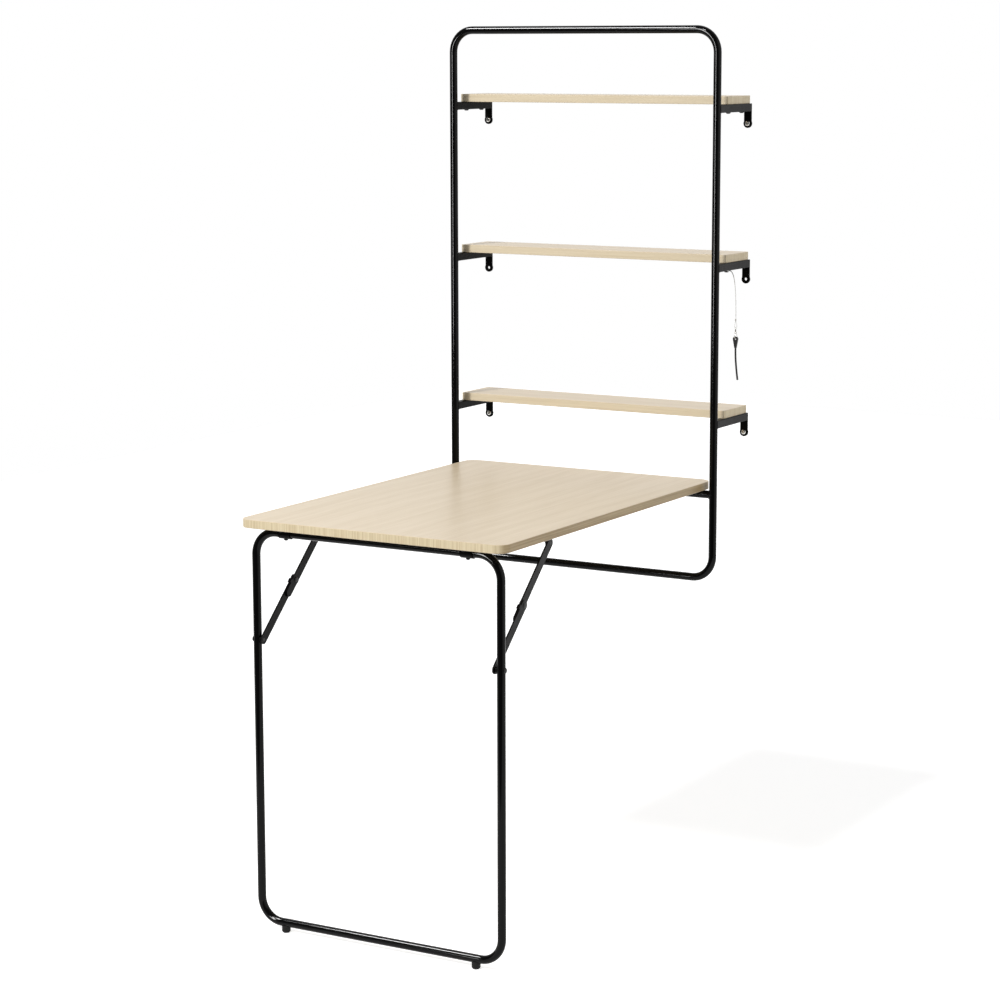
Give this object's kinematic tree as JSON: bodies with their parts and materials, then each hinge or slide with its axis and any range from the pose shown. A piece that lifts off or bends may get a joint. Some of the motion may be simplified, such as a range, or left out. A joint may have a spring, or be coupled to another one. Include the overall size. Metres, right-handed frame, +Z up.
{
  "type": "wall mounted drop leaf table",
  "caption": "Wall mounted frame of black tube with narrow shelves and a tabletop that folds up flat against it, standing on a hinged tube leg with folding braces.",
  "frame": {"origin": "on the wall plane, midway between the two middle wall screw holes", "axes": "+X to the right along the wall as seen by someone facing it, +Y into the wall, +Z up"},
  "size_m": [0.585, 0.902, 1.6025],
  "materials": {
    "black_steel": "satin powder coat",
    "black_screws": "black zinc",
    "shelf_laminate": "light oak laminate",
    "table_laminate": "light oak laminate",
    "black_rubber": "matte",
    "black_plastic": "matte",
    "black_cord": "braided",
    "thin_cord": "twisted",
    "zinc": "zinc plated"
  },
  "bodies": {
    "wall_frame": {"frame_tube_left": "black_steel", "frame_tube_right": "black_steel", "cross_tube": "black_steel", "arm_lower_left": "black_steel", "wall_plate_lower_left": "black_steel", "arm_lower_right": "black_steel", "wall_plate_lower_right": "black_steel", "shelf_lower": "shelf_laminate", "shelf_screws_lower": "black_screws", "arm_middle_left": "black_steel", "wall_plate_middle_left": "black_steel", "arm_middle_right": "black_steel", "wall_plate_middle_right": "black_steel", "shelf_middle": "shelf_laminate", "shelf_screws_middle": "black_screws", "arm_top_left": "black_steel", "wall_plate_top_left": "black_steel", "arm_top_right": "black_steel", "wall_plate_top_right": "black_steel", "shelf_top": "shelf_laminate", "shelf_screws_top": "black_screws", "lanyard_eyelet": "zinc", "lanyard_cord": "thin_cord", "lanyard_crimp": "zinc", "lanyard_loop": "thin_cord", "lanyard_swivel": "zinc", "lanyard_ring": "zinc", "lanyard_pull_eye": "black_plastic", "lanyard_pull_cord": "black_cord"},
    "tabletop": {"tabletop": "table_laminate", "hinge_saddle_left": "black_steel", "hinge_saddle_right": "black_steel", "hinge_saddle_screws": "black_screws", "leg_saddle_left": "black_steel", "leg_saddle_right": "black_steel", "leg_saddle_screws": "black_screws", "leg_retaining_screws": "black_screws", "brace_bracket_left": "black_steel", "brace_bracket_right": "black_steel", "brace_bracket_screws": "black_screws", "anchor_rivets": "black_steel"},
    "leg": {"leg_tube_left": "black_steel", "foot_left": "black_rubber", "brace_spacer_left": "black_steel", "leg_tube_right": "black_steel", "foot_right": "black_rubber", "brace_spacer_right": "black_steel", "leg_rivets": "black_steel"},
    "brace_upper_left": {"brace_upper_link_left": "black_steel", "knee_rivet_left": "black_steel"},
    "brace_lower_left": {"brace_lower_link_left": "black_steel", "knee_rivet_tail_left": "black_steel"},
    "brace_upper_right": {"brace_upper_link_right": "black_steel", "knee_rivet_right": "black_steel"},
    "brace_lower_right": {"brace_lower_link_right": "black_steel", "knee_rivet_tail_right": "black_steel"}
  },
  "joints": [
    {"name": "tabletop_fold", "type": "hinge", "parent": "wall_frame", "child": "tabletop", "pos_m": [0, -0.136, -0.3983], "axis": [-1, 0, 0], "range_deg": [0, 90]},
    {"name": "leg_fold", "type": "hinge", "parent": "tabletop", "child": "leg", "pos_m": [0, -0.875, -0.3983], "axis": [1, 0, 0], "range_deg": [0, 90]},
    {"name": "brace_upper_fold_left", "type": "hinge", "parent": "tabletop", "child": "brace_upper_left", "pos_m": [-0.2337, -0.68, -0.4083], "axis": [-1, 0, 0], "range_deg": [0, 45.7]},
    {"name": "brace_lower_fold_left", "type": "hinge", "parent": "leg", "child": "brace_lower_left", "pos_m": [-0.237, -0.875, -0.5933], "axis": [1, 0, 0], "range_deg": [0, 48.7]},
    {"name": "brace_upper_fold_right", "type": "hinge", "parent": "tabletop", "child": "brace_upper_right", "pos_m": [0.2337, -0.68, -0.4083], "axis": [-1, 0, 0], "range_deg": [0, 45.7]},
    {"name": "brace_lower_fold_right", "type": "hinge", "parent": "leg", "child": "brace_lower_right", "pos_m": [0.237, -0.875, -0.5933], "axis": [1, 0, 0], "range_deg": [0, 48.7]}
  ],
  "couplings": [
    {"joint": "brace_upper_fold_left", "follows": "leg_fold", "ratio": 0.50694},
    {"joint": "brace_lower_fold_left", "follows": "leg_fold", "ratio": 0.54044},
    {"joint": "brace_upper_fold_right", "follows": "leg_fold", "ratio": 0.50694},
    {"joint": "brace_lower_fold_right", "follows": "leg_fold", "ratio": 0.54044}
  ]
}
